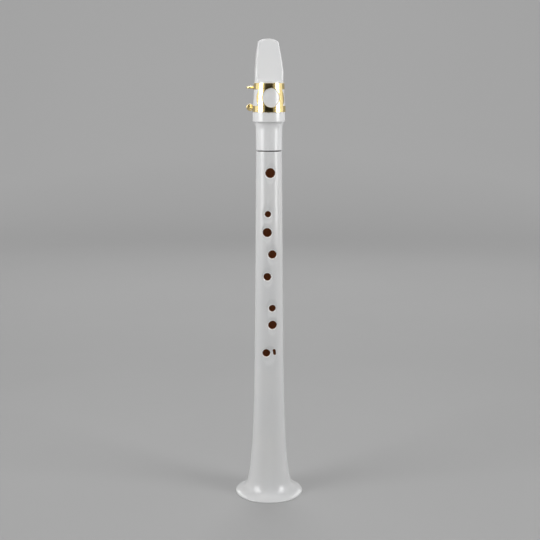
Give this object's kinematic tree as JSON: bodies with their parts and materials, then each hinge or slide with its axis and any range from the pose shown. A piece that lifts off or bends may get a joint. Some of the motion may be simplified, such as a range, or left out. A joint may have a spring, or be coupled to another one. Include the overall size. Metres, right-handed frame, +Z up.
{
  "type": "pocket saxophone",
  "caption": "Slim moulded wind instrument with a flared bell, open tone holes and a single-reed mouthpiece clamped by a metal ligature.",
  "frame": {"origin": "centre of the bell's rim, in the plane that the instrument stands on", "axes": "+Z up along the tube to the mouthpiece's tip; the tone holes face -Y; +X to the right of someone facing them"},
  "size_m": [0.0584, 0.0584, 0.39],
  "materials": {
    "white_plastic": "glossy white moulded plastic",
    "black_rubber": "smooth black rubber",
    "cane": "satin cut cane",
    "gold_brass": "polished gold lacquer"
  },
  "bodies": {
    "tube": {"body": "white_plastic"},
    "tenon_rings": {"tenon_ring_upper": "black_rubber", "tenon_ring_lower": "black_rubber"},
    "mouthpiece": {"mouthpiece": "white_plastic"},
    "reed": {"reed": "cane"},
    "ligature": {"ligature_band": "gold_brass", "ligature_post_upper_left": "gold_brass", "ligature_post_upper_right": "gold_brass", "ligature_post_lower_left": "gold_brass", "ligature_post_lower_right": "gold_brass"},
    "screw_upper": {"ligature_screw_upper": "gold_brass"},
    "screw_lower": {"ligature_screw_lower": "gold_brass"}
  },
  "joints": [
    {"name": "mouthpiece_turn", "type": "hinge", "parent": "tube", "child": "tenon_rings", "pos_m": [0, 0, 0.308], "axis": [0, 0, 1], "continuous": true},
    {"name": "mouthpiece_pull", "type": "slide", "parent": "tenon_rings", "child": "mouthpiece", "axis": [0, 0, 1], "range_m": [0, 0.018]},
    {"name": "ligature_slide", "type": "slide", "parent": "mouthpiece", "child": "ligature", "axis": [0, 0, 1], "range_m": [0, 0.06]},
    {"name": "reed_slide", "type": "slide", "parent": "mouthpiece", "child": "reed", "axis": [0.0058, -0.0415, 0.9991], "range_m": [0, 0.07]},
    {"name": "screw_upper_turn", "type": "hinge", "parent": "ligature", "child": "screw_upper", "pos_m": [-0.00209, 0.01488, 0.3504], "axis": [0.9903, 0.1392, 0], "range_deg": [0, 720]},
    {"name": "screw_lower_turn", "type": "hinge", "parent": "ligature", "child": "screw_lower", "pos_m": [-0.00209, 0.01488, 0.334], "axis": [0.9903, 0.1392, 0], "range_deg": [0, 720]}
  ]
}
